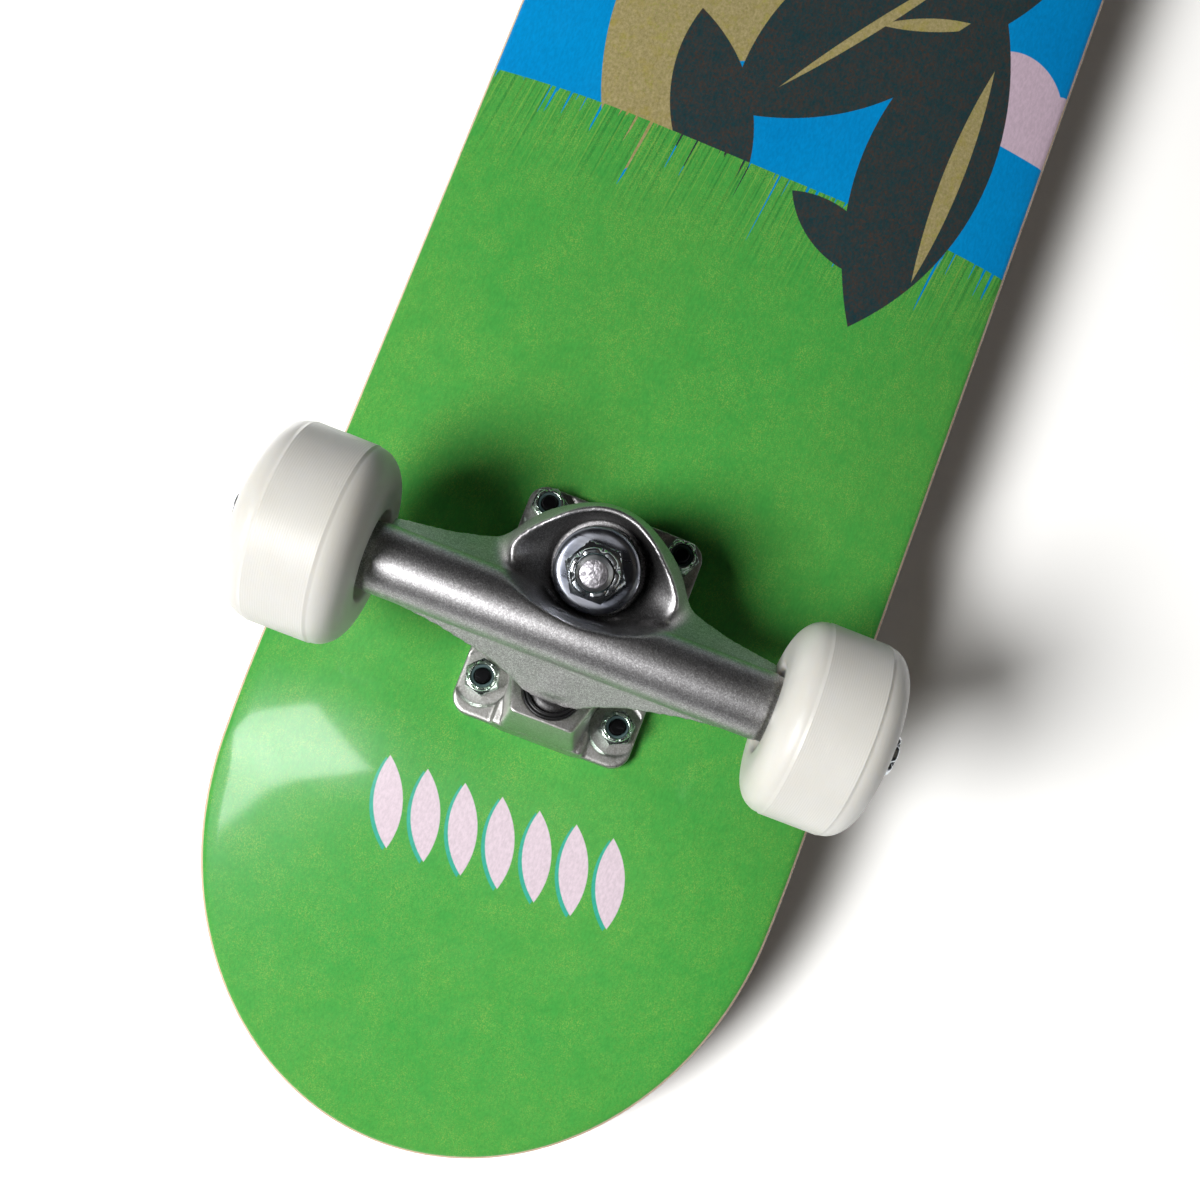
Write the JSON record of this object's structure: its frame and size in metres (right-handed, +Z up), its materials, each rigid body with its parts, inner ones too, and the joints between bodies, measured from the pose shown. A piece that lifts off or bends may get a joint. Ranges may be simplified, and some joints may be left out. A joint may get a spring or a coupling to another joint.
{
  "type": "skateboard",
  "caption": "Popsicle skateboard: a concave laminated deck with kicked nose and tail on two sprung, steering trucks and four free-rolling urethane wheels.",
  "frame": {"origin": "on the ground plane under the middle of the deck's length and width, wheels down", "axes": "+X towards the nose, +Y towards the rider's left, +Z up"},
  "size_m": [0.7226, 0.18, 0.1333],
  "materials": {
    "deck_wood": "maple plies with a glossy printed underside",
    "grip": "gritty",
    "baseplate_cast": "as cast",
    "hanger_cast": "fine blasted",
    "pivot_cup_rubber": "matte",
    "kingpin_steel": "zinc plated",
    "kingpin_nut_zinc": "bright zinc",
    "washer_zinc": "bright zinc",
    "bushing_urethane": "satin",
    "axle_steel": "satin",
    "bolt_black": "black oxide",
    "mounting_nut_zinc": "bright zinc",
    "wheel_urethane": "satin with lathe lines",
    "bearing_steel": "ground",
    "shield_steel": "pressed",
    "ball_steel": "polished",
    "cage_nylon": "moulded",
    "spacer_steel": "turned",
    "axle_nut_zinc": "bright zinc"
  },
  "bodies": {
    "board": {"deck": "deck_wood", "grip_tape": "grip", "nose_baseplate": "baseplate_cast", "nose_pivot_cup": "pivot_cup_rubber", "nose_kingpin": "kingpin_steel", "nose_kingpin_nut": "kingpin_nut_zinc", "nose_cup_washers": "washer_zinc", "nose_boardside_bushing": "bushing_urethane", "nose_roadside_bushing": "bushing_urethane", "nose_mounting_bolts": "bolt_black", "nose_mounting_nuts": "mounting_nut_zinc", "tail_baseplate": "baseplate_cast", "tail_pivot_cup": "pivot_cup_rubber", "tail_kingpin": "kingpin_steel", "tail_kingpin_nut": "kingpin_nut_zinc", "tail_cup_washers": "washer_zinc", "tail_boardside_bushing": "bushing_urethane", "tail_roadside_bushing": "bushing_urethane", "tail_mounting_bolts": "bolt_black", "tail_mounting_nuts": "mounting_nut_zinc"},
    "nose_hanger": {"nose_hanger": "hanger_cast", "nose_axle": "axle_steel", "nose_left_bearing_inner_rings": "bearing_steel", "nose_left_bearing_spacer": "spacer_steel", "nose_left_speed_washers": "spacer_steel", "nose_left_axle_nut": "axle_nut_zinc", "nose_right_bearing_inner_rings": "bearing_steel", "nose_right_bearing_spacer": "spacer_steel", "nose_right_speed_washers": "spacer_steel", "nose_right_axle_nut": "axle_nut_zinc"},
    "tail_hanger": {"tail_hanger": "hanger_cast", "tail_axle": "axle_steel", "tail_left_bearing_inner_rings": "bearing_steel", "tail_left_bearing_spacer": "spacer_steel", "tail_left_speed_washers": "spacer_steel", "tail_left_axle_nut": "axle_nut_zinc", "tail_right_bearing_inner_rings": "bearing_steel", "tail_right_bearing_spacer": "spacer_steel", "tail_right_speed_washers": "spacer_steel", "tail_right_axle_nut": "axle_nut_zinc"},
    "nose_left_wheel": {"nose_left_wheel": "wheel_urethane", "nose_left_bearing_outer_rings": "bearing_steel", "nose_left_bearing_shields": "shield_steel"},
    "nose_left_ball_set": {"nose_left_bearing_balls": "ball_steel", "nose_left_bearing_cages": "cage_nylon"},
    "nose_right_wheel": {"nose_right_wheel": "wheel_urethane", "nose_right_bearing_outer_rings": "bearing_steel", "nose_right_bearing_shields": "shield_steel"},
    "nose_right_ball_set": {"nose_right_bearing_balls": "ball_steel", "nose_right_bearing_cages": "cage_nylon"},
    "tail_left_wheel": {"tail_left_wheel": "wheel_urethane", "tail_left_bearing_outer_rings": "bearing_steel", "tail_left_bearing_shields": "shield_steel"},
    "tail_left_ball_set": {"tail_left_bearing_balls": "ball_steel", "tail_left_bearing_cages": "cage_nylon"},
    "tail_right_wheel": {"tail_right_wheel": "wheel_urethane", "tail_right_bearing_outer_rings": "bearing_steel", "tail_right_bearing_shields": "shield_steel"},
    "tail_right_ball_set": {"tail_right_bearing_balls": "ball_steel", "tail_right_bearing_cages": "cage_nylon"}
  },
  "joints": [
    {"name": "nose_steer", "type": "hinge", "parent": "board", "child": "nose_hanger", "pos_m": [0.20947, 0, 0.05507], "axis": [0.9613, 0, 0.2756], "range_deg": [-15, 15], "stiffness_Nm_per_rad": 30, "deforming": ["nose_boardside_bushing", "nose_roadside_bushing"]},
    {"name": "tail_steer", "type": "hinge", "parent": "board", "child": "tail_hanger", "pos_m": [-0.21651, 0, 0.05507], "axis": [0.9613, 0, -0.2756], "range_deg": [-15, 15], "stiffness_Nm_per_rad": 30, "deforming": ["tail_boardside_bushing", "tail_roadside_bushing"]},
    {"name": "nose_left_spin", "type": "hinge", "parent": "nose_hanger", "child": "nose_left_wheel", "pos_m": [0.19497, 0.0695, 0.0265], "axis": [0, 1, 0], "continuous": true},
    {"name": "nose_left_ball_orbit", "type": "hinge", "parent": "nose_hanger", "child": "nose_left_ball_set", "pos_m": [0.19497, 0.0695, 0.0265], "axis": [0, 1, 0], "continuous": true},
    {"name": "nose_right_spin", "type": "hinge", "parent": "nose_hanger", "child": "nose_right_wheel", "pos_m": [0.19497, -0.0695, 0.0265], "axis": [0, 1, 0], "continuous": true},
    {"name": "nose_right_ball_orbit", "type": "hinge", "parent": "nose_hanger", "child": "nose_right_ball_set", "pos_m": [0.19497, -0.0695, 0.0265], "axis": [0, 1, 0], "continuous": true},
    {"name": "tail_left_spin", "type": "hinge", "parent": "tail_hanger", "child": "tail_left_wheel", "pos_m": [-0.20201, 0.0695, 0.0265], "axis": [0, 1, 0], "continuous": true},
    {"name": "tail_left_ball_orbit", "type": "hinge", "parent": "tail_hanger", "child": "tail_left_ball_set", "pos_m": [-0.20201, 0.0695, 0.0265], "axis": [0, 1, 0], "continuous": true},
    {"name": "tail_right_spin", "type": "hinge", "parent": "tail_hanger", "child": "tail_right_wheel", "pos_m": [-0.20201, -0.0695, 0.0265], "axis": [0, 1, 0], "continuous": true},
    {"name": "tail_right_ball_orbit", "type": "hinge", "parent": "tail_hanger", "child": "tail_right_ball_set", "pos_m": [-0.20201, -0.0695, 0.0265], "axis": [0, 1, 0], "continuous": true}
  ],
  "couplings": [
    {"joint": "nose_left_ball_orbit", "follows": "nose_left_spin", "ratio": 0.6323},
    {"joint": "nose_right_ball_orbit", "follows": "nose_right_spin", "ratio": 0.6323},
    {"joint": "tail_left_ball_orbit", "follows": "tail_left_spin", "ratio": 0.6323},
    {"joint": "tail_right_ball_orbit", "follows": "tail_right_spin", "ratio": 0.6323}
  ]
}
